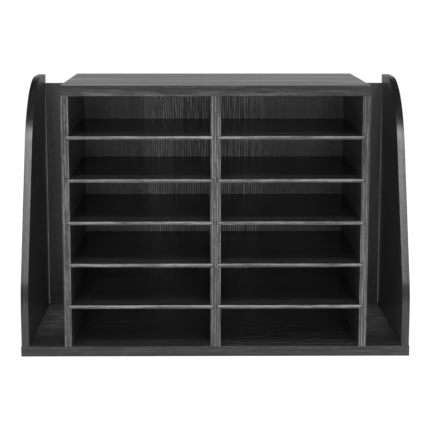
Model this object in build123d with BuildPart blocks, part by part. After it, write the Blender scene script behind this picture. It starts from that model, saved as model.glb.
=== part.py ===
# Literature organizer: two columns of removable shelves in a case, between two curved wings.
# Millimetres, +Z up, front towards -Y, origin at the middle of the underside.

import os
from math import asin, cos, degrees, radians, sin, tan

from build123d import *

os.makedirs("parts", exist_ok=True)

# Compartments
rows = 6
clear_width = 221.75  # one compartment, side to divider
clear_height = 62.5  # one compartment, shelf to shelf
bay_width = 56.6  # open bay between the case and a wing
depth = 300.0  # front edge to rear edge of the base

# Boards
thick_board = 16.5  # base, top and centre divider
thin_board = 12.5  # sides, wings and back
shelf_board = 5.4  # removable shelves

# Shelf fit
groove_depth = 5.0
groove_rest = 0.1  # under a shelf in its groove
groove_lift = 0.7  # over a shelf in its groove
shelf_end_play = 0.7  # past each end of a shelf, and behind it

# Outline
top_overhang = 0.75  # top beyond the outer face of each side
wing_inset = 0.9  # outer face of a wing back from the end of the base
wing_drop = 1.0  # crown of a wing below the upper face of the top
wing_gap = 1.0  # between a wing and the end of the back
knee_height = 100.0  # where the upright front of a wing turns into its lean
knee_radius = 120.0
crown_reach = 163.5  # from the rear edge to the corner that the crown rounds off
crown_radius = 158.0
heel_radius = 4.0  # upper rear corner of a wing

# Edge strips
edging = 1.0  # strip on the boards
edging_round = 0.9
shelf_edging = 0.6  # strip on the shelves
shelf_edging_round = 0.4

# Screws
screw_length = 40.0
screw_diameter = 4.0
screw_head = 8.0
screw_head_angle = 90.0
screw_tip = 5.0
screw_sink = 0.4  # head below the face of the board
screw_inset = 45.0  # from the front and rear of the case
recess_length = 4.6  # cross recess in the head
recess_width = 1.1
recess_depth = 1.5

# Dowels
dowel_diameter = 6.0
dowel_length = 30.0
dowel_chamfer = 0.8
dowel_inset = 95.0  # from the front and rear of the case

# Cam fittings
cam_diameter = 12.0
cam_reach = 24.0  # bolt seat to the middle of the cam
cam_inset = 65.0  # from the front and rear of the case
wing_cam_inset = 100.0  # from the base and the top, on the back
cam_web = 2.7  # board left under a cam
cam_floor = 1.2  # cam left under its cross slot
cam_slot_length = 8.0
cam_slot_width = 1.6
cam_turn = 100.0  # degrees from the entry hole to locked
bolt_shank = 5.4
bolt_neck = 3.2
bolt_neck_length = 5.5
bolt_head = 5.4
bolt_head_length = 3.0
bolt_thread = 5.0

# Clearances for what is driven or pushed into a board
play = 0.1  # all round
end_play = 0.5  # past the end
blind_cover = 3.0  # board left past the end of a blind hole

# Worked out from the above
front = -depth / 2
rear = depth / 2
back_front = rear - thin_board
back_middle = rear - thin_board / 2
shelf_pitch = clear_height + shelf_board
deck = thick_board  # upper face of the base
ceiling = deck + rows * shelf_pitch - shelf_board  # underside of the top
height = ceiling + thick_board
side_inner = thick_board / 2 + clear_width
side_outer = side_inner + thin_board
side_middle = side_inner + thin_board / 2
wing_inner = side_outer + bay_width
wing_outer = wing_inner + thin_board
wing_middle = wing_inner + thin_board / 2
half_width = wing_outer + wing_inset
top_half = side_outer + top_overhang
back_half = wing_inner - wing_gap
column_middle = thick_board / 2 + clear_width / 2
bay_middle = side_outer + bay_width / 2
shelf_levels = [deck + row * shelf_pitch - shelf_board / 2 for row in range(1, rows)]
row_middles = [deck + row * shelf_pitch + clear_height / 2 for row in range(rows)]
shelf_half = clear_width / 2 + groove_depth - shelf_end_play
hands = (("left", -1), ("right", 1))

# Fastening points
standing_boards = [-wing_middle, -side_middle, 0, side_middle, wing_middle]
screw_rows = [front + screw_inset, back_front - screw_inset]
dowel_rows = [front + dowel_inset, back_front - dowel_inset]
cam_rows = [front + cam_inset, back_front - cam_inset]
back_foot_screws = [-bay_middle, -column_middle, column_middle, bay_middle]
back_dowels = [-column_middle, column_middle]
rear_screw_levels = row_middles[1::2]
rear_screw_boards = [-side_middle, 0, side_middle]
wing_cam_levels = [deck + wing_cam_inset, ceiling - wing_cam_inset]
wing_dowel_level = (deck + ceiling) / 2
dowel_seat = thin_board - blind_cover  # dowel in a face
dowel_rest = dowel_length - dowel_seat  # dowel in an end
bolt_seat = thin_board - blind_cover  # thread in a face
cam_height = thin_board - cam_web
screw_bite = screw_length + screw_sink + end_play
screw_head_slope = tan(radians(screw_head_angle / 2))


def slab(x_span, y_span, z_span, mode=Mode.ADD):
    """Add or cut a box that fills three spans."""
    spans = (x_span, y_span, z_span)
    middle = tuple((low + high) / 2 for low, high in spans)
    size = tuple(high - low for low, high in spans)
    with Locations(middle):
        Box(*size, mode=mode)


def grooves(x_span):
    """Cut one groove for each shelf, open at the front and the rear."""
    for level in shelf_levels:
        z_span = (level - shelf_board / 2 - groove_rest, level + shelf_board / 2 + groove_lift)
        slab(x_span, (front, rear), z_span, mode=Mode.SUBTRACT)


def holes(places, diameter, hole_depth):
    """Drill a round hole at each place, into the board."""
    with Locations(*places):
        Hole(diameter / 2 + play, hole_depth)


def screw_holes(places):
    """Countersink a through hole at each place."""
    with Locations(*places):
        CounterSinkHole(
            screw_diameter / 2 + play,
            screw_head / 2 + screw_sink * screw_head_slope + play,
            counter_sink_angle=screw_head_angle,
        )


def drill_foot(x):
    """Drill the lower end of a standing board for the base's screws and dowels."""
    holes([facing_down(x, y, deck) for y in screw_rows], screw_diameter, screw_bite - deck)
    holes([facing_down(x, y, deck) for y in dowel_rows], dowel_diameter, dowel_rest + end_play)


def drill_case_board(x):
    """Drill a side or the divider at its foot, its upper end and its rear edge."""
    drill_foot(x)
    holes([facing_up(x, y, ceiling) for y in dowel_rows], dowel_diameter, dowel_rest + end_play)
    rear_places = [facing_back(x, back_front, z) for z in rear_screw_levels]
    holes(rear_places, screw_diameter, screw_bite - thin_board)


def strip(plane, length, breadth, thickness, rounding, all_round=False, groove_spans=()):
    """Make an edge strip that is glued on a plane, with its outer edges eased."""
    with BuildPart() as band:
        with BuildSketch(plane):
            Rectangle(length, breadth)
        extrude(amount=thickness)
        outer = band.faces().sort_by(Axis(plane.origin, plane.z_dir))[-1]
        eased = outer.edges()
        if not all_round:
            eased = eased.filter_by(Axis(plane.origin, plane.x_dir))
        fillet(eased, rounding)
        for groove_span in groove_spans:
            grooves(groove_span)
    return band


def save(piece, name):
    """Label a finished piece and write it."""
    piece.part.label = name
    export_step(piece.part, f"parts/{name}.step")


def facing_up(x, y, z):
    return Location((x, y, z))


def facing_down(x, y, z):
    return Location((x, y, z), (180, 0, 0))


def facing_back(x, y, z):
    return Location((x, y, z), (-90, 0, 0))


def facing_front(x, y, z):
    return Location((x, y, z), (90, 0, 0))


def facing_side(x, y, z, hand):
    return Location((x, y, z), (0, 90 * hand, 0))


# Base
base_screw_points = [(x, y) for x in standing_boards for y in screw_rows]
base_screw_points += [(x, back_middle) for x in back_foot_screws]
base_dowel_points = [(x, y) for x in standing_boards for y in dowel_rows]

with BuildPart() as base:
    slab((edging - half_width, half_width - edging), (front + edging, rear - edging), (0, deck))
    screw_holes([facing_down(x, y, 0) for x, y in base_screw_points])
    holes([facing_up(x, y, deck) for x, y in base_dowel_points], dowel_diameter, dowel_seat + end_play)
save(base, "base_panel")

# Top
top_dowel_points = [(x, y) for x in rear_screw_boards for y in dowel_rows]
top_dowel_points += [(x, back_middle) for x in back_dowels]
top_bolt_points = [(hand * side_middle, y) for _, hand in hands for y in cam_rows]

with BuildPart() as top:
    slab((edging - top_half, top_half - edging), (front + edging, rear - edging), (ceiling, height))
    holes([facing_down(x, y, ceiling) for x, y in top_dowel_points], dowel_diameter, dowel_seat + end_play)
    holes([facing_down(x, y, ceiling) for x, y in top_bolt_points], bolt_thread, bolt_seat + end_play)
save(top, "top_panel")

# Edge strips round the base and the top
for board, half, level in (("base", half_width, deck / 2), ("top", top_half, ceiling + thick_board / 2)):
    for name, facing in (("front", -1), ("rear", 1)):
        plane = Plane((0, facing * (rear - edging), level), (1, 0, 0), (0, facing, 0))
        long_strip = strip(plane, 2 * half, thick_board, edging, edging_round, all_round=True)
        save(long_strip, f"{board}_{name}_edging")
    for name, hand in hands:
        plane = Plane((hand * (half - edging), 0, level), (0, 1, 0), (hand, 0, 0))
        short_strip = strip(plane, depth - 2 * edging, thick_board, edging, edging_round)
        save(short_strip, f"{board}_{name}_edging")

# Sides, each with a row of shelf grooves on its inner face
for name, hand in hands:
    x_span = tuple(sorted((hand * side_inner, hand * side_outer)))
    groove_span = tuple(sorted((hand * side_inner, hand * (side_inner + groove_depth))))
    middle = hand * side_middle
    with BuildPart() as side:
        slab(x_span, (front + edging, back_front), (deck, ceiling))
        grooves(groove_span)
        drill_case_board(middle)
        holes([facing_up(middle, y, ceiling) for y in cam_rows], bolt_shank, cam_reach)
        cam_places = [facing_side(hand * side_outer, y, ceiling - cam_reach, hand) for y in cam_rows]
        holes(cam_places, cam_diameter, cam_height + play)
    save(side, f"{name}_side_panel")

    plane = Plane((middle, front + edging, (deck + ceiling) / 2), (0, 0, 1), (0, -1, 0))
    side_strip = strip(
        plane, ceiling - deck, thin_board, edging, edging_round, groove_spans=[groove_span]
    )
    save(side_strip, f"{name}_side_edging")

# Centre divider, grooved on both faces
half_divider = thick_board / 2
divider_grooves = ((-half_divider, groove_depth - half_divider), (half_divider - groove_depth, half_divider))

with BuildPart() as divider:
    slab((-half_divider, half_divider), (front + edging, back_front), (deck, ceiling))
    for groove_span in divider_grooves:
        grooves(groove_span)
    drill_case_board(0)
save(divider, "centre_divider")

divider_plane = Plane((0, front + edging, (deck + ceiling) / 2), (0, 0, 1), (0, -1, 0))
divider_strip = strip(
    divider_plane, ceiling - deck, thick_board, edging, edging_round, groove_spans=divider_grooves
)
save(divider_strip, "divider_edging")

# Back
with BuildPart() as back:
    slab((-back_half, back_half), (back_front, rear), (deck, ceiling - edging))
    screw_holes([facing_back(x, rear, z) for x in rear_screw_boards for z in rear_screw_levels])
    foot_places = [facing_down(x, back_middle, deck) for x in back_foot_screws]
    holes(foot_places, screw_diameter, screw_bite - deck)
    head_places = [facing_up(x, back_middle, ceiling - edging) for x in back_dowels]
    holes(head_places, dowel_diameter, dowel_rest + end_play - edging)
    for _, hand in hands:
        end = hand * back_half
        dowel_place = facing_side(end, back_middle, wing_dowel_level, hand)
        holes([dowel_place], dowel_diameter, dowel_rest + end_play - wing_gap)
        bolt_places = [facing_side(end, back_middle, z, hand) for z in wing_cam_levels]
        holes(bolt_places, bolt_shank, cam_reach - wing_gap)
        cam_places = [facing_back(hand * (wing_inner - cam_reach), rear, z) for z in wing_cam_levels]
        holes(cam_places, cam_diameter, cam_height + play)
save(back, "back_panel")

back_plane = Plane((0, back_middle, ceiling - edging), (1, 0, 0), (0, 0, 1))
with BuildPart() as back_strip:
    with BuildSketch(back_plane):
        Rectangle(2 * back_half, thin_board)
    extrude(amount=edging)
    fillet(back_strip.faces().sort_by(Axis.Z)[-1].edges().filter_by(Axis.X), edging_round)
    holes([facing_up(x, back_middle, ceiling) for x in back_dowels], dowel_diameter, edging)
save(back_strip, "back_edging")


# Wings: upright front, lean and crown, with the strip wrapped round front, crown and rear
def wing_outline(foot):
    """Draw the side view of a wing down to a foot level, as a face."""
    crown = height - wing_drop
    front_foot = (front, foot)
    knee = (front, knee_height)
    crown_corner = (rear - crown_reach, crown)
    heel = (rear, crown)
    rear_foot = (rear, foot)
    with BuildSketch() as outline:
        with BuildLine():
            Polyline(front_foot, knee, crown_corner, heel, rear_foot, close=True)
        make_face()
        for corner, radius in ((knee, knee_radius), (crown_corner, crown_radius), (heel, heel_radius)):
            fillet(outline.vertices().sort_by_distance(corner)[0], radius)
    return outline


for name, hand in hands:
    inner_plane = Plane.YZ.offset(min(hand * wing_inner, hand * wing_outer))
    with BuildPart() as wing:
        with BuildSketch(inner_plane):
            add(wing_outline(deck - edging).sketch)
            offset(amount=-edging, kind=Kind.INTERSECTION, mode=Mode.REPLACE)
        extrude(amount=thin_board)
        core = wing.part
        drill_foot(hand * wing_middle)
        inner_face = hand * wing_inner
        dowel_place = facing_side(inner_face, back_middle, wing_dowel_level, -hand)
        holes([dowel_place], dowel_diameter, dowel_seat + end_play)
        bolt_places = [facing_side(inner_face, back_middle, z, -hand) for z in wing_cam_levels]
        holes(bolt_places, bolt_thread, bolt_seat + end_play)
    save(wing, f"{name}_wing_panel")

    with BuildPart() as wing_strip:
        with BuildSketch(inner_plane):
            add(wing_outline(deck).sketch)
        extrude(amount=thin_board)
        fillet(wing_strip.faces().filter_by(Axis.X).edges(), edging_round)
        add(core, mode=Mode.SUBTRACT)
    save(wing_strip, f"{name}_wing_edging")

# Removable shelves
shelf_span_y = (front + shelf_edging, back_front - shelf_end_play)
for name, hand in hands:
    middle = hand * column_middle
    for number, level in enumerate(shelf_levels, start=1):
        with BuildPart() as shelf:
            slab(
                (middle - shelf_half, middle + shelf_half),
                shelf_span_y,
                (level - shelf_board / 2, level + shelf_board / 2),
            )
        save(shelf, f"{name}_shelf_{number}")

        plane = Plane((middle, front + shelf_edging, level), (1, 0, 0), (0, -1, 0))
        shelf_strip = strip(plane, 2 * shelf_half, shelf_board, shelf_edging, shelf_edging_round)
        save(shelf_strip, f"{name}_shelf_{number}_edging")

# One of each fastener
with BuildPart() as screw:
    with BuildSketch(Plane.XZ):
        with BuildLine():
            Polyline(
                (0, 0),
                (screw_head / 2, 0),
                (screw_diameter / 2, (screw_head - screw_diameter) / 2 / screw_head_slope),
                (screw_diameter / 2, screw_length - screw_tip),
                (0, screw_length),
                close=True,
            )
        make_face()
    revolve(axis=Axis.Z)
    with BuildSketch():
        Rectangle(recess_length, recess_width)
        Rectangle(recess_width, recess_length)
    extrude(amount=recess_depth, mode=Mode.SUBTRACT)

with BuildPart() as dowel:
    Cylinder(dowel_diameter / 2, dowel_length, align=(Align.CENTER, Align.CENTER, Align.MIN))
    chamfer(dowel.edges().filter_by(GeomType.CIRCLE), dowel_chamfer)

neck_end = cam_reach - bolt_head_length / 2
neck_start = neck_end - bolt_neck_length
with BuildPart() as cam_bolt:
    with BuildSketch(Plane.XZ):
        with BuildLine():
            Polyline(
                (0, -bolt_seat),
                (bolt_thread / 2, -bolt_seat),
                (bolt_thread / 2, 0),
                (bolt_shank / 2, 0),
                (bolt_shank / 2, neck_start),
                (bolt_neck / 2, neck_start),
                (bolt_neck / 2, neck_end),
                (bolt_head / 2, neck_end),
                (bolt_head / 2, neck_end + bolt_head_length),
                (0, neck_end + bolt_head_length),
                close=True,
            )
        make_face()
    revolve(axis=Axis.Z)

# Cam lock: a drum hollowed from below for the bolt head, with a slot that lets the neck in
bolt_level = -thin_board / 2
cam_play = 2 * play
chamber_radius = (bolt_head_length**2 + bolt_head**2) ** 0.5 / 2 + cam_play
chamber_roof = bolt_level + bolt_head / 2 + cam_play
slot_height = bolt_neck + 2 * cam_play
slot_start = -degrees(asin(slot_height / 2 / chamber_radius))
slot_turns = (slot_start, (slot_start + cam_turn) / 2, cam_turn)
with BuildPart() as cam_lock:
    Cylinder(cam_diameter / 2, cam_height, align=(Align.CENTER, Align.CENTER, Align.MAX))
    with BuildSketch(Plane.XY.offset(chamber_roof)):
        Circle(chamber_radius)
    extrude(amount=-(cam_height + chamber_roof), mode=Mode.SUBTRACT)
    with BuildSketch(Plane.XY.offset(bolt_level)):
        with BuildLine():
            arms = [
                (cam_diameter * cos(radians(turn)), cam_diameter * sin(radians(turn)))
                for turn in slot_turns
            ]
            Polyline((0, 0), *arms, close=True)
        make_face()
    extrude(amount=slot_height / 2, both=True, mode=Mode.SUBTRACT)
    entry = Plane((0, 0, bolt_level), z_dir=arms[-1] + (0,))
    with BuildSketch(entry):
        Circle(bolt_head / 2 + cam_play)
    extrude(amount=cam_diameter, mode=Mode.SUBTRACT)
    with BuildSketch():
        Rectangle(cam_slot_length, cam_slot_width)
        Rectangle(cam_slot_width, cam_slot_length)
    extrude(amount=chamber_roof + cam_floor, mode=Mode.SUBTRACT)


def group(piece, places, name):
    """Write one node that holds a copy of a fastener at each place."""
    with BuildPart() as fasteners:
        with Locations(*places):
            add(piece.part)
    save(fasteners, name)


base_screw_places = [facing_up(x, y, screw_sink) for x, y in base_screw_points]
back_screw_places = [
    facing_front(x, rear - screw_sink, z) for x in rear_screw_boards for z in rear_screw_levels
]
group(screw, base_screw_places, "base_screws")
group(screw, back_screw_places, "back_screws")

wing_dowel_places = [
    facing_side(hand * (wing_inner + dowel_seat), back_middle, wing_dowel_level, -hand)
    for _, hand in hands
]
group(dowel, [facing_up(x, y, deck - dowel_seat) for x, y in base_dowel_points], "base_dowels")
group(dowel, [facing_down(x, y, ceiling + dowel_seat) for x, y in top_dowel_points], "top_dowels")
group(dowel, wing_dowel_places, "wing_dowels")

wing_bolt_places = [
    facing_side(hand * wing_inner, back_middle, z, -hand) for _, hand in hands for z in wing_cam_levels
]
group(cam_bolt, [facing_down(x, y, ceiling) for x, y in top_bolt_points], "top_cam_bolts")
group(cam_bolt, wing_bolt_places, "wing_cam_bolts")

# Each cam is turned so that its slot meets the bolt
top_cam_places = [
    facing_side(hand * side_outer, y, ceiling - cam_reach, hand) * Location((0, 0, 0), (0, 0, turn))
    for hand, turn in ((-1, 0), (1, 180))
    for y in cam_rows
]
wing_cam_places = [
    facing_back(hand * (wing_inner - cam_reach), rear, z) * Location((0, 0, 0), (0, 0, turn))
    for hand, turn in ((-1, 180), (1, 0))
    for z in wing_cam_levels
]
group(cam_lock, top_cam_places, "top_cam_locks")
group(cam_lock, wing_cam_places, "wing_cam_locks")
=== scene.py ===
import bpy
import math
import numpy as np
from mathutils import Matrix, Vector


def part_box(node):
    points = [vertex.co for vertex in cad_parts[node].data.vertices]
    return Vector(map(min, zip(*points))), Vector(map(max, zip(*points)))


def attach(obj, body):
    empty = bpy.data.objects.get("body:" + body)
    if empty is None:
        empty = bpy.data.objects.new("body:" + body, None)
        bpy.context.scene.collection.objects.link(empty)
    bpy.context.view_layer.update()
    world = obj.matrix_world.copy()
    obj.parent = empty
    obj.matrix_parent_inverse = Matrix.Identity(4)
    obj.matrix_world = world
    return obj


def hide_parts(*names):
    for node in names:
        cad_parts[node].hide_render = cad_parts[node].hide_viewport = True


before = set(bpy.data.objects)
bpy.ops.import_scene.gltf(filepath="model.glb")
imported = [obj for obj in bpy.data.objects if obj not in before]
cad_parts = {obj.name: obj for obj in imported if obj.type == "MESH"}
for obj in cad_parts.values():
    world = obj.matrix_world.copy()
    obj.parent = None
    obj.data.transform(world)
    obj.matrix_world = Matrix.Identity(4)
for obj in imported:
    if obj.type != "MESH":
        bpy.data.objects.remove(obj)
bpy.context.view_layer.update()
scene = bpy.context.scene
scene.view_settings.view_transform = "Standard"


# Small helpers for node trees: a value goes into a socket, or a link does
def feed(tree, socket, source):
    if isinstance(source, bpy.types.NodeSocket):
        tree.links.new(source, socket)
    else:
        socket.default_value = source


def mathNode(tree, operation, *sources, clamp=False):
    node = tree.nodes.new("ShaderNodeMath")
    node.operation = operation
    node.use_clamp = clamp
    for socket, source in zip(node.inputs, sources):
        feed(tree, socket, source)
    return node.outputs[0]


def rangeNode(tree, value, fromLow, fromHigh, toLow=0.0, toHigh=1.0):
    node = tree.nodes.new("ShaderNodeMapRange")
    for name, source in (("Value", value), ("From Min", fromLow), ("From Max", fromHigh),
                         ("To Min", toLow), ("To Max", toHigh)):
        feed(tree, node.inputs[name], source)
    return node.outputs["Result"]


def mixColour(tree, factor, first, second):
    node = tree.nodes.new("ShaderNodeMix")
    node.data_type = "RGBA"
    feed(tree, node.inputs["Factor"], factor)
    feed(tree, node.inputs[6], first)      # inputs 6 and 7 are the two colours
    feed(tree, node.inputs[7], second)
    return node.outputs[2]                 # output 2 is the mixed colour


# Noise drawn out along the grain: cells per metre along X, and across it
def stretchedNoise(tree, vector, along, across, detail, roughness=0.5):
    scaled = tree.nodes.new("ShaderNodeVectorMath")
    scaled.operation = "MULTIPLY"
    feed(tree, scaled.inputs[0], vector)
    scaled.inputs[1].default_value = (along, across, across)
    noise = tree.nodes.new("ShaderNodeTexNoise")
    noise.inputs["Scale"].default_value = 1.0
    noise.inputs["Detail"].default_value = detail
    noise.inputs["Roughness"].default_value = roughness
    feed(tree, noise.inputs["Vector"], scaled.outputs[0])
    return noise.outputs["Fac"]


def centredNoise(tree, vector, noise):
    return mathNode(tree, "SUBTRACT", stretchedNoise(tree, vector, *noise), 0.5)


def grey(level):
    return (level, level, level, 1.0)


# Inputs of the grain group, and the entry of a look that fills each
grainColours = {"Ground": "ground", "Vein": "vein"}
grainValues = {
    "Line Pitch": "linePitch", "Waviness": "waviness", "Line Strength": "lines",
    "Painted Highlight Half Width": "paintedHighlightZone", "Painted Highlight Depth": "paintedHighlightDepth",
    "Fibre Strength": "fibres", "Fleck Strength": "flecks", "Pore Strength": "pores",
    "Rough Mean": "rough", "Rough Spread": "roughSpread", "Line Polish": "linePolish",
}
# What every grain shares. A noise is cells per metre along and across, then detail and roughness;
# a range is from low and high, then to low and high
grainLook = dict(
    slowBend=(4, 22, 2), quickBend=(16, 75, 1), quickShare=0.6, lineSharpness=1.6,
    breaks=(20, 150, 2), breakRange=(0.32, 0.62, 0.15, 1.0),
    patches=(2, 6, 1), patchRange=(0.38, 0.6, 0.55, 1.0),
    # Painted highlight zone: grain lines fade from full to faint between these reaches across the grain, and
    # stay faint behind the zone's depth
    paintedHighlightFade=(0.75, 1.2, 1.0, 0.03), rearLines=0.15,
    fibres=(12, 480, 3, 0.6), flecks=(100, 700, 1), pores=(70, 1500, 1), poreRange=(0.58, 0.7),
    fibreTint=2.0, poreTint=0.5, smoothest=0.08)


# Printed wood grain, which runs along X of the vector that comes in. Growth lines are a sine of the
# distance across the grain, bent by noise; fibres, flecks and pores are noise drawn out along it.
def makeGrainGroup(look):
    tree = bpy.data.node_groups.new("woodGrain", "ShaderNodeTree")
    inputKinds = [("Vector", "NodeSocketVector")]
    inputKinds += [(name, "NodeSocketColor") for name in grainColours]
    inputKinds += [(name, "NodeSocketFloat") for name in grainValues]
    outputKinds = [("Color", "NodeSocketColor"), ("Roughness", "NodeSocketFloat"),
                   ("Height", "NodeSocketFloat")]
    for direction, kinds in (("INPUT", inputKinds), ("OUTPUT", outputKinds)):
        for name, kind in kinds:
            tree.interface.new_socket(name, in_out=direction, socket_type=kind)
    entry = tree.nodes.new("NodeGroupInput").outputs
    result = tree.nodes.new("NodeGroupOutput").inputs
    vector = entry["Vector"]
    split = tree.nodes.new("ShaderNodeSeparateXYZ")
    feed(tree, split.inputs[0], vector)

    # growth lines: bent and broken along their run; their strength is a painted highlight zone of lit lines,
    # faded outside the zone and on faces behind its depth
    slow = centredNoise(tree, vector, look["slowBend"])
    quick = centredNoise(tree, vector, look["quickBend"])
    bend = mathNode(tree, "MULTIPLY_ADD", quick, look["quickShare"], slow)
    bend = mathNode(tree, "MULTIPLY", bend, entry["Waviness"])
    across = mathNode(tree, "ADD", split.outputs["Y"], split.outputs["Z"])
    place = mathNode(tree, "DIVIDE", across, entry["Line Pitch"])
    turns = mathNode(tree, "MULTIPLY", mathNode(tree, "ADD", place, bend), 2 * math.pi)
    wave = mathNode(tree, "MULTIPLY_ADD", mathNode(tree, "SINE", turns), 0.5, 0.5)
    lines = mathNode(tree, "POWER", wave, look["lineSharpness"])
    broken = rangeNode(tree, stretchedNoise(tree, vector, *look["breaks"]), *look["breakRange"])
    patch = rangeNode(tree, stretchedNoise(tree, vector, *look["patches"]), *look["patchRange"])
    lines = mathNode(tree, "MULTIPLY", lines, mathNode(tree, "MULTIPLY", broken, patch))
    lines = mathNode(tree, "MULTIPLY", lines, entry["Line Strength"])
    reach = mathNode(tree, "DIVIDE", mathNode(tree, "ABSOLUTE", across), entry["Painted Highlight Half Width"])
    paintedHighlightZone = rangeNode(tree, reach, *look["paintedHighlightFade"])
    deep = mathNode(tree, "GREATER_THAN", split.outputs["Y"], entry["Painted Highlight Depth"])
    lines = mathNode(tree, "MULTIPLY", lines, rangeNode(tree, deep, 0.0, 1.0, paintedHighlightZone, look["rearLines"]))

    # fibres, short flecks and pores
    fibre = mathNode(tree, "MULTIPLY", centredNoise(tree, vector, look["fibres"]), entry["Fibre Strength"])
    fleck = centredNoise(tree, vector, look["flecks"])
    fibre = mathNode(tree, "MULTIPLY_ADD", fleck, entry["Fleck Strength"], fibre)
    pores = rangeNode(tree, stretchedNoise(tree, vector, *look["pores"]), *look["poreRange"])
    pores = mathNode(tree, "MULTIPLY", pores, entry["Pore Strength"])

    tint = mathNode(tree, "ADD", lines, mathNode(tree, "MULTIPLY", fibre, look["fibreTint"]))
    tint = mathNode(tree, "SUBTRACT", tint, mathNode(tree, "MULTIPLY", pores, look["poreTint"]), clamp=True)
    feed(tree, result["Color"], mixColour(tree, tint, entry["Ground"], entry["Vein"]))
    height = mathNode(tree, "ADD", lines, fibre)
    feed(tree, result["Height"], mathNode(tree, "SUBTRACT", height, pores))
    spread = mathNode(tree, "MULTIPLY", mathNode(tree, "SUBTRACT", pores, fibre), entry["Rough Spread"])
    polish = mathNode(tree, "MULTIPLY", lines, entry["Line Polish"])
    rough = mathNode(tree, "SUBTRACT", mathNode(tree, "ADD", entry["Rough Mean"], spread), polish)
    feed(tree, result["Roughness"], mathNode(tree, "MAXIMUM", rough, look["smoothest"]))
    return tree


grainGroup = makeGrainGroup(grainLook)
grainTurns = {"x": (0, 0, 0), "y": (0, 0, -90), "z": (0, 90, 0)}   # degrees that lay each direction on X


def newMaterial(name):
    material = bpy.data.materials.new(name)
    material.use_nodes = True
    return material, material.node_tree, material.node_tree.nodes["Principled BSDF"]


def embossSurface(tree, shader, height, depth):
    bump = tree.nodes.new("ShaderNodeBump")
    bump.inputs["Strength"].default_value = 1.0
    bump.inputs["Distance"].default_value = depth
    feed(tree, bump.inputs["Height"], height)
    feed(tree, shader.inputs["Normal"], bump.outputs["Normal"])


def woodMaterial(name, look):
    material, tree, shader = newMaterial(name)
    direction = look["grainAlong"]
    mapping = tree.nodes.new("ShaderNodeMapping")
    mapping.inputs["Rotation"].default_value = [math.radians(angle) for angle in grainTurns[direction]]
    mapping.inputs["Location"].default_value = look["shift"]
    mapping.inputs["Scale"].default_value["xyz".index(direction)] = look["squeeze"]
    feed(tree, mapping.inputs["Vector"], tree.nodes.new("ShaderNodeTexCoord").outputs[look["coordinates"]])
    grain = tree.nodes.new("ShaderNodeGroup")
    grain.node_tree = grainGroup
    feed(tree, grain.inputs["Vector"], mapping.outputs[0])
    for socketName, key in grainColours.items():
        grain.inputs[socketName].default_value = grey(look[key])
    for socketName, key in grainValues.items():
        grain.inputs[socketName].default_value = look[key]
    feed(tree, shader.inputs["Base Color"], grain.outputs["Color"])
    feed(tree, shader.inputs["Roughness"], grain.outputs["Roughness"])
    embossSurface(tree, shader, grain.outputs["Height"], look["emboss"])
    shader.inputs["Specular IOR Level"].default_value = look["gloss"]
    return material


# Metal fittings: a plated skin with fine mottling
def metalMaterial(name, look):
    material, tree, shader = newMaterial(name)
    where = tree.nodes.new("ShaderNodeTexCoord").outputs["Object"]
    mottle = stretchedNoise(tree, where, *look["mottle"])
    skin = mixColour(tree, mottle, look["dark"] + (1,), look["light"] + (1,))
    feed(tree, shader.inputs["Base Color"], skin)
    feed(tree, shader.inputs["Roughness"], rangeNode(tree, mottle, *look["polish"]))
    embossSurface(tree, shader, mottle, look["pits"])
    shader.inputs["Metallic"].default_value = 1.0
    return material


# Black laminate on the boards: linear greys, sizes in metres
boardLook = dict(
    coordinates="Object", grainAlong="z", shift=(0, 0, 0), squeeze=1.0, ground=0.024, vein=0.06,
    linePitch=0.0055, waviness=2.0, lines=0.8, paintedHighlightZone=10.0, paintedHighlightDepth=10.0, fibres=0.6, flecks=0.2,
    pores=0.15, rough=0.34, roughSpread=0.1, linePolish=0.05, emboss=0.00004, gloss=0.5)
# The back board's grain lines are light only in a painted highlight zone near the divider, standing in for
# lines that catch the light there; its rear face keeps faint lines
backLook = dict(
    boardLook, shift=(0, -0.1375, -0.02), ground=0.037, vein=0.37, linePitch=0.0042, waviness=2.4,
    lines=0.92, paintedHighlightZone=0.1, paintedHighlightDepth=0.006, fibres=0.2, rough=0.28, linePolish=0.2,
    emboss=0.0004, gloss=0.34)
baseLook = dict(
    boardLook, grainAlong="x", shift=(3.1, 0.1, 0.2), squeeze=2.0, ground=0.021, vein=0.09,
    linePitch=0.013, waviness=1.9, lines=0.7, flecks=0.3, rough=0.3)
topLook = dict(
    baseLook, shift=(0.1, 0.3, 0.2), squeeze=0.3, ground=0.018, vein=0.15, linePitch=0.05,
    waviness=1.2, lines=1.3, fibres=0.9, flecks=0.2, rough=0.28, linePolish=0.08, gloss=0.6)
shelfLook = dict(
    baseLook, shift=(0.7, 0.4, 0.1), squeeze=0.8, vein=0.05, linePitch=0.03, lines=1.0, flecks=0.4,
    rough=0.24, gloss=0.05)
# Edge strips: brighter and longer streaks than on the boards
edgeLook = dict(
    boardLook, shift=(0.4, 0.0035, 0), ground=0.014, vein=0.12, linePitch=0.0042, waviness=1.4,
    lines=1.2, fibres=1.0, flecks=1.0, pores=0.5, rough=0.4, roughSpread=0.2, emboss=0.00008, gloss=0.55)
uprightEdgeLook = dict(
    edgeLook, ground=0.004, vein=0.105, waviness=0.5, flecks=0.7, rough=0.28, gloss=0.8)
topEdgeLook = dict(
    edgeLook, grainAlong="x", shift=(0.4, 0.009, 0), ground=0.007, vein=0.07, linePitch=0.03,
    waviness=0.3, lines=0.9, flecks=0.4, gloss=0.42)
longEdgeLook = dict(
    edgeLook, grainAlong="x", ground=0.013, vein=0.055, waviness=0.6, lines=0.6, flecks=0.6, gloss=0.42)
endEdgeLook = dict(edgeLook, grainAlong="y", ground=0.006, vein=0.05, gloss=0.42)
shelfEdgeLook = dict(
    edgeLook, grainAlong="x", shift=(0.4, 0.0011, 0), ground=0.03, vein=0.175, linePitch=0.00679,
    waviness=0.5, flecks=0.5)
wingEdgeLook = dict(
    edgeLook, coordinates="UV", grainAlong="x", ground=0.004, vein=0.022, flecks=0.4, rough=0.28, gloss=0.66)
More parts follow.
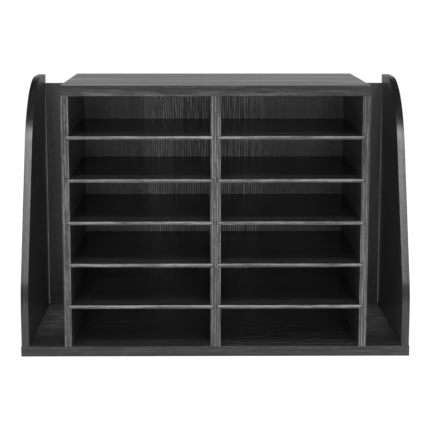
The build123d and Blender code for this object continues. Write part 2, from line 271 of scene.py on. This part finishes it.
# Fittings: beech dowels, zinc cams, dark screws and bright bolts
beechLook = dict(
    boardLook, ground=0.34, vein=0.52, linePitch=0.0012, waviness=1.0, rough=0.6, emboss=0.00005)
zincLook = dict(
    dark=(0.42, 0.43, 0.45), light=(0.62, 0.63, 0.65), mottle=(900, 900, 3), polish=(0.3, 0.7, 0.3, 0.5),
    pits=0.00003)
screwLook = dict(
    dark=(0.05, 0.05, 0.055), light=(0.1, 0.1, 0.11), mottle=(1200, 1200, 3), polish=(0.3, 0.7, 0.3, 0.5),
    pits=0.00002)
boltLook = dict(
    dark=(0.5, 0.5, 0.5), light=(0.66, 0.65, 0.62), mottle=(1500, 1500, 3), polish=(0.3, 0.7, 0.25, 0.4),
    pits=0.00002)
woodLooks = dict(
    uprightBoard=boardLook, backBoard=backLook, baseBoard=baseLook, topBoard=topLook, shelfBoard=shelfLook,
    uprightEdge=uprightEdgeLook, topEdge=topEdgeLook, longEdge=longEdgeLook, endEdge=endEdgeLook,
    shelfEdge=shelfEdgeLook, wingEdge=wingEdgeLook, dowelBeech=beechLook)
metalLooks = dict(camZinc=zincLook, screwSteel=screwLook, boltSteel=boltLook)
finishes = {name: woodMaterial(name, look) for name, look in woodLooks.items()}
finishes.update((name, metalMaterial(name, look)) for name, look in metalLooks.items())
print("materials made:", len(bpy.data.materials))

# The finish of each CAD node: the first row with a word that is in the node's name
nodeFinishes = (
    ("shelf_1_edging shelf_2_edging shelf_3_edging shelf_4_edging shelf_5_edging", "shelfEdge"),
    ("top_front_edging top_rear_edging", "topEdge"),
    ("base_front_edging base_rear_edging back_edging", "longEdge"),
    ("base_left_edging base_right_edging top_left_edging top_right_edging", "endEdge"),
    ("side_edging divider_edging wing_edging", "uprightEdge"),
    ("base_panel", "baseBoard"),
    ("top_panel", "topBoard"),
    ("shelf_", "shelfBoard"),
    ("back_panel", "backBoard"),
    ("panel divider", "uprightBoard"),
    ("screws", "screwSteel"),
    ("bolts", "boltSteel"),
    ("locks", "camZinc"),
    ("dowels", "dowelBeech"),
)
for nodeName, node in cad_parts.items():
    finish = next(kind for words, kind in nodeFinishes if any(word in nodeName for word in words.split()))
    for slot in node.material_slots:
        slot.material = finishes[finish]
print("finishes given to", len(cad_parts), "CAD nodes")

# Strip round the front, crown and rear of a wing. Its path is the side view of the wing: upright, knee
# arc, lean, crown arc, flat and heel arc, all tangent. The section, a band with two eased corners, is
# carried along the path by place + across * X + outward * normal.
wingStripLook = dict(
    thick=0.0010, ease=0.0009, kneeHeight=0.100, kneeRadius=0.120, crownReach=0.1635, crownRadius=0.158,
    heelRadius=0.004, arcStep=math.radians(1.5), easeSteps=6, straightStep=0.01, sharp=math.radians(35),
    grainStart=dict(left=0.0, right=1.3))


# Centre plus radius times the normal; angles run from 0 at the front over the top to half a turn at the rear
def arcPoints(centre, radius, startAngle, endAngle, step):
    angles = np.linspace(startAngle, endAngle, max(2, round(abs(endAngle - startAngle) / step) + 1))
    normals = np.stack((-np.cos(angles), np.sin(angles)), axis=1)
    return np.asarray(centre) + radius * normals, normals


# Even steps between two points, without the points themselves
def linePoints(start, end, step):
    count = max(2, round(math.dist(start, end) / step) + 1)
    return np.linspace(start, end, count)[1:-1]


def wingPath(look, front, rear, foot, crown):
    corner = np.array((rear - look["crownReach"], crown))
    lean = math.atan2(corner[0] - front, corner[1] - look["kneeHeight"])
    upward, rearward = math.pi / 2, math.pi
    kneeRun = look["kneeRadius"] * math.tan(lean / 2)
    crownRun = look["crownRadius"] * math.tan((upward - lean) / 2)
    arcs = (
        ((front + look["kneeRadius"], look["kneeHeight"] - kneeRun), look["kneeRadius"], 0, lean),
        ((corner[0] + crownRun, crown - look["crownRadius"]), look["crownRadius"], lean, upward),
        ((rear - look["heelRadius"], crown - look["heelRadius"]), look["heelRadius"], upward, rearward),
    )
    points, normals = [np.array([(front, foot)])], [np.array([(-1.0, 0.0)])]
    for centre, radius, startAngle, endAngle in arcs:
        arc, arcNormals = arcPoints(centre, radius, startAngle, endAngle, look["arcStep"])
        run = linePoints(points[-1][-1], arc[0], look["straightStep"])
        points += [run, arc]
        normals += [np.repeat(arcNormals[:1], len(run), axis=0), arcNormals]
    run = linePoints(points[-1][-1], (rear, foot), look["straightStep"])
    points += [run, np.array([(rear, foot)])]
    normals += [np.repeat(np.array([(1.0, 0.0)]), len(run) + 1, axis=0)]
    return np.concatenate(points), np.concatenate(normals)


# Lengths from the first point to each one along an open line of steps
def runLength(steps):
    return np.concatenate(([0], np.cumsum(steps)))


def wingStrip(name, node, look, grainStart):
    low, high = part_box(node)
    points, normals = wingPath(look, low.y, high.y, low.z, high.z)
    turn = np.linspace(0, math.pi / 2, look["easeSteps"] + 1)
    ease, thick, half = look["ease"], look["thick"], (high.x - low.x) / 2
    across = np.concatenate((
        [-half], -half + ease - ease * np.cos(turn), half - ease + ease * np.sin(turn), [half]))
    outward = np.concatenate((
        [-thick], -ease + ease * np.sin(turn), -ease + ease * np.cos(turn), [-thick]))
    rows, columns = len(points), len(across)
    x = np.broadcast_to((low.x + high.x) / 2 + across, (rows, columns))
    y = points[:, :1] + normals[:, :1] * outward
    z = points[:, 1:] + normals[:, 1:] * outward
    verts = np.stack((x, y, z), axis=2).reshape(-1, 3)
    grid = np.arange(rows * columns).reshape(rows, columns)
    beside = np.roll(grid, -1, axis=1)
    quads = np.stack((grid[:-1], beside[:-1], beside[1:], grid[1:]), axis=2).reshape(-1, 4)
    ends = [grid[0][::-1].tolist(), grid[-1].tolist()]
    mesh = bpy.data.meshes.new(name)
    mesh.from_pydata(verts.tolist(), [], quads.tolist() + ends)
    run = runLength(np.linalg.norm(np.diff(points, axis=0), axis=1))
    girth = runLength(np.hypot(np.diff(across), np.diff(outward)))
    flat = np.stack((np.repeat(run, columns), np.tile(girth, rows)), axis=1) + grainStart
    corners = np.zeros(len(mesh.loops), dtype=np.int32)
    mesh.loops.foreach_get("vertex_index", corners)
    stripRun = mesh.uv_layers.new(name="stripRun")
    stripRun.data.foreach_set("uv", flat[corners].ravel().astype(np.float32))
    mesh.shade_smooth()
    mesh.set_sharp_from_angle(angle=look["sharp"])
    mesh.materials.append(finishes["wingEdge"])
    strip = bpy.data.objects.new(name, mesh)
    scene.collection.objects.link(strip)
    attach(strip, "cabinet")
    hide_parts(node)


for hand, grainStart in wingStripLook["grainStart"].items():
    wingStrip(hand + "_wing_strip", hand + "_wing_edging", wingStripLook, grainStart)
print("wing strips wrapped")

# Camera at the photograph's viewing angle
cameraView = dict(
    place=(-0.0225, -2.2005, 0.583), pitch=9.743, yaw=-0.602, roll=0.028, lens=110.18, sensor=36.0)
camera = bpy.data.objects.new("camera", bpy.data.cameras.new("camera"))
camera.data.lens = cameraView["lens"]
camera.data.sensor_width = cameraView["sensor"]
camera.matrix_world = (
    Matrix.Translation(cameraView["place"])
    @ Matrix.Rotation(math.radians(cameraView["yaw"]), 4, "Z")
    @ Matrix.Rotation(math.radians(90 - cameraView["pitch"]), 4, "X")
    @ Matrix.Rotation(math.radians(cameraView["roll"]), 4, "Z"))
scene.collection.objects.link(camera)
scene.camera = camera

# Soft boxes: place, the point each faces, size and power. One that isn't mirrored shows in no
# reflection, and one that isn't spreading shows only in reflections
softBoxes = {
    "keyBox": dict(place=(0, -1.429, 2.078), facing=(0, -0.03, 0.38), size=(2.2, 0.44), watts=22),
    "middleBox": dict(place=(0, -1.705, 1.806), facing=(0, -0.03, 0.38), size=(2.2, 0.34), watts=17.5,
                      spreading=False),
    "lowerBox": dict(place=(0, -1.954, 1.447), facing=(0, -0.03, 0.38), size=(2.2, 0.54), watts=12.5,
                     spreading=False),
    "frontLeftBox": dict(place=(-0.6, -2.9, 0.65), facing=(0, 0, 0.25), size=(0.3, 0.8), watts=21.5,
                         mirrored=False),
    "frontRightBox": dict(place=(0.6, -2.9, 0.65), facing=(0, 0, 0.25), size=(0.3, 0.8), watts=21.5,
                          mirrored=False),
    "leftBox": dict(place=(-1.9, -1.3, 0.9), facing=(0, 0, 0.25), size=(0.9, 1.3), watts=3),
    "rightBox": dict(place=(1.9, -1.3, 0.9), facing=(0, 0, 0.25), size=(0.9, 1.3), watts=3),
    "frontFill": dict(place=(0, -2.7, 0.55), facing=(0, 0, 0.25), size=(3.8, 0.9), watts=21, mirrored=False),
    "lowBox": dict(place=(0, -2.9, 0.12), facing=(0, 0, 0.12), size=(0.7, 0.2), watts=12, mirrored=False),
    "leftBayBox": dict(place=(-0.27, 0.04, 0.62), facing=(-0.27, 0.04, 0), size=(0.03, 0.2), watts=0.045,
                       spread=14, mirrored=False),
    "rightBayBox": dict(place=(0.27, 0.04, 0.62), facing=(0.27, 0.04, 0), size=(0.03, 0.2), watts=0.04,
                        spread=14, mirrored=False),
}


def softBox(name, look):
    lamp = bpy.data.lights.new(name, "AREA")
    lamp.shape = "RECTANGLE"
    lamp.size, lamp.size_y = look["size"]
    lamp.energy = look["watts"]
    lamp.spread = math.radians(look.get("spread", 180))
    box = bpy.data.objects.new(name, lamp)
    aim = Vector(look["place"]) - Vector(look["facing"])
    box.matrix_world = Matrix.Translation(look["place"]) @ aim.to_track_quat("Z", "Y").to_matrix().to_4x4()
    box.visible_camera = False
    box.visible_glossy = look.get("mirrored", True)
    box.visible_diffuse = look.get("spreading", True)
    scene.collection.objects.link(box)


for name, look in softBoxes.items():
    softBox(name, look)


# Rays that show the white studio: those from the camera, mirrored ones and those through glass
def seenRays(tree):
    path = tree.nodes.new("ShaderNodeLightPath").outputs
    seen = mathNode(tree, "MAXIMUM", path["Is Camera Ray"], path["Is Glossy Ray"])
    return mathNode(tree, "MAXIMUM", seen, path["Is Transmission Ray"])


# World: white for the camera and through glass; mirrored rays see it dimmer, from before to behind and
# overhead; a low even light for the rest
studioLook = dict(white=1.0, before=0.35, behind=0.45, depthFade=0.5, overhead=0.04, wallTop=0.28,
                  wallFade=0.5, ambient=0.5)
world = bpy.data.worlds.new("studio")
world.use_nodes = True
scene.world = world
tree = world.node_tree
background = tree.nodes["Background"]
background.inputs["Color"].default_value = grey(1.0)
split = tree.nodes.new("ShaderNodeSeparateXYZ")
feed(tree, split.inputs[0], tree.nodes.new("ShaderNodeTexCoord").outputs["Generated"])
depth = rangeNode(tree, split.outputs["Y"], -studioLook["depthFade"], studioLook["depthFade"],
                  studioLook["before"], studioLook["behind"])
wall = rangeNode(tree, split.outputs["Z"], studioLook["wallTop"], studioLook["wallFade"],
                 depth, studioLook["overhead"])
path = tree.nodes.new("ShaderNodeLightPath").outputs
mirrored = mathNode(tree, "MULTIPLY", path["Is Glossy Ray"], wall)
direct = mathNode(tree, "MAXIMUM", path["Is Camera Ray"], path["Is Transmission Ray"])
lit = mathNode(tree, "MAXIMUM", mirrored, mathNode(tree, "MULTIPLY", direct, studioLook["white"]))
rest = mathNode(tree, "SUBTRACT", 1.0, seenRays(tree))
feed(tree, background.inputs["Strength"],
     mathNode(tree, "ADD", lit, mathNode(tree, "MULTIPLY", rest, studioLook["ambient"])))

# Floor: pale, and lifted to white for seen rays while it keeps the soft shadow; in mirror images its glow is
# a painted pool of light that fades to painted shade far off
floorLook = dict(half=14.0, pale=0.8, seenShare=0.3, lift=0.87, farLift=0.1, paintedPoolCentre=(0, 0.7, 0),
                 near=2.5, far=5.0)
half = floorLook["half"]
floorMesh = bpy.data.meshes.new("floor")
floorMesh.from_pydata(
    [(-half, -half, 0), (half, -half, 0), (half, half, 0), (-half, half, 0)], [], [(0, 1, 2, 3)])
floor = bpy.data.objects.new("floor", floorMesh)
scene.collection.objects.link(floor)
floorMaterial, tree, shader = newMaterial("paleFloor")
tree.nodes.remove(shader)
matt = tree.nodes.new("ShaderNodeBsdfDiffuse")
matt.inputs["Color"].default_value = grey(floorLook["pale"])
seenMatt = tree.nodes.new("ShaderNodeBsdfDiffuse")
seenMatt.inputs["Color"].default_value = grey(floorLook["seenShare"])
away = tree.nodes.new("ShaderNodeVectorMath")
away.operation = "DISTANCE"
feed(tree, away.inputs[0], tree.nodes.new("ShaderNodeTexCoord").outputs["Object"])
away.inputs[1].default_value = floorLook["paintedPoolCentre"]
# Painted pool of light for mirrored rays: the floor's glow falls from lift near its centre to farLift far
# off, as painted shade
paintedPoolGlow = rangeNode(tree, away.outputs["Value"], floorLook["near"], floorLook["far"],
                   floorLook["lift"], floorLook["farLift"])
glossy = tree.nodes.new("ShaderNodeLightPath").outputs["Is Glossy Ray"]
glow = tree.nodes.new("ShaderNodeEmission")
feed(tree, glow.inputs["Strength"], rangeNode(tree, glossy, 0.0, 1.0, floorLook["lift"], paintedPoolGlow))
lifted = tree.nodes.new("ShaderNodeAddShader")
feed(tree, lifted.inputs[0], seenMatt.outputs[0])
feed(tree, lifted.inputs[1], glow.outputs[0])
choice = tree.nodes.new("ShaderNodeMixShader")
feed(tree, choice.inputs[0], seenRays(tree))
feed(tree, choice.inputs[1], matt.outputs[0])
feed(tree, choice.inputs[2], lifted.outputs[0])
feed(tree, tree.nodes["Material Output"].inputs["Surface"], choice.outputs[0])
floorMesh.materials.append(floorMaterial)
print("studio set: camera, soft boxes, world and floor")
